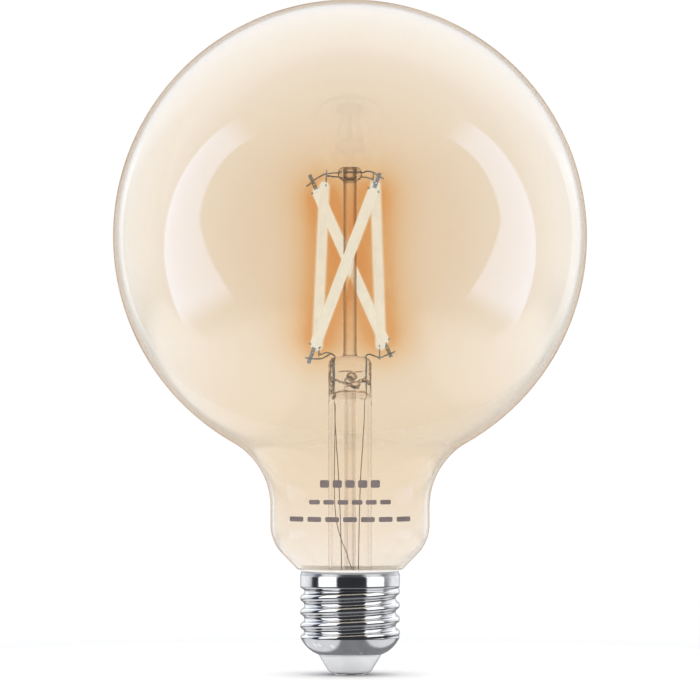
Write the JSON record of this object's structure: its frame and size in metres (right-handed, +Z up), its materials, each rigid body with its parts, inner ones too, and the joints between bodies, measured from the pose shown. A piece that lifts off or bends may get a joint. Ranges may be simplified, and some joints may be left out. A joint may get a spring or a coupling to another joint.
{
  "type": "smart light bulb",
  "caption": "Large clear glass globe light bulb with lit LED filaments on a glass stem, an Edison screw cap and a radio-controlled driver inside the cap.",
  "frame": {"origin": "centre of the flat underside of the centre contact, the lowest point of the bulb", "axes": "+Z up the axis of the bulb, from the cap to the top of the globe; -Y is the front, where the neck is printed; +X to the right of the front"},
  "size_m": [0.125, 0.125, 0.178],
  "materials": {
    "globe_glass": "clear blown glass, faintly amber",
    "stem_glass": "clear drawn glass",
    "lead_wire": "nickel wire, dull blue-grey",
    "tab_metal": "punched strip, dull blue-grey",
    "strip_ceramic": "matt white",
    "led_chip": "glossy",
    "warm_coat": "silicone with phosphor, lit",
    "cool_coat": "silicone with phosphor, lit",
    "nickel": "polished nickel plate",
    "insulator": "smooth white",
    "solder": "satin solder",
    "cement": "matt",
    "sleeve_plastic": "moulded",
    "board_green": "solder mask",
    "capacitor_case": "shrink sleeve",
    "chip_black": "moulded epoxy",
    "resistor_body": "lacquer",
    "ferrite": "matt sintered",
    "copper_wire": "enamelled copper",
    "varistor_blue": "dipped epoxy",
    "ceramic_tan": "matt",
    "gold_pin": "gold flash",
    "wire_red": "extruded",
    "wire_blue": "extruded",
    "grey_ink": "printed"
  },
  "bodies": {
    "root": {"globe": "globe_glass", "flare_tube": "stem_glass", "stem_press": "stem_glass", "exhaust_tube": "stem_glass", "stem_rod": "stem_glass", "top_bead": "stem_glass", "warm_bridge": "lead_wire", "cool_bridge": "lead_wire", "warm_lead": "lead_wire", "cool_lead": "lead_wire", "common_lead": "lead_wire", "left_strip": "strip_ceramic", "left_chips": "led_chip", "left_coat": "warm_coat", "left_tabs": "tab_metal", "right_strip": "strip_ceramic", "right_chips": "led_chip", "right_coat": "warm_coat", "right_tabs": "tab_metal", "front_strip": "strip_ceramic", "front_chips": "led_chip", "front_coat": "cool_coat", "front_tabs": "tab_metal", "back_strip": "strip_ceramic", "back_chips": "led_chip", "back_coat": "cool_coat", "back_tabs": "tab_metal", "screw_shell": "nickel", "cap_insulator": "insulator", "centre_contact": "nickel", "contact_solder": "solder", "cap_cement": "cement", "driver_sleeve": "sleeve_plastic", "driver_board": "board_green", "bulk_capacitor": "capacitor_case", "bridge_rectifier": "chip_black", "driver_chips": "chip_black", "fusible_resistor": "resistor_body", "filter_inductor": "ferrite", "inductor_winding": "copper_wire", "varistor": "varistor_blue", "small_capacitors": "ceramic_tan", "small_resistors": "chip_black", "radio_board": "board_green", "radio_chip": "chip_black", "radio_shield": "nickel", "crystal": "nickel", "header_pins": "gold_pin", "antenna": "copper_wire", "line_wire": "wire_red", "neutral_wire": "wire_blue", "printed_mark": "grey_ink"}
  },
  "joints": []
}
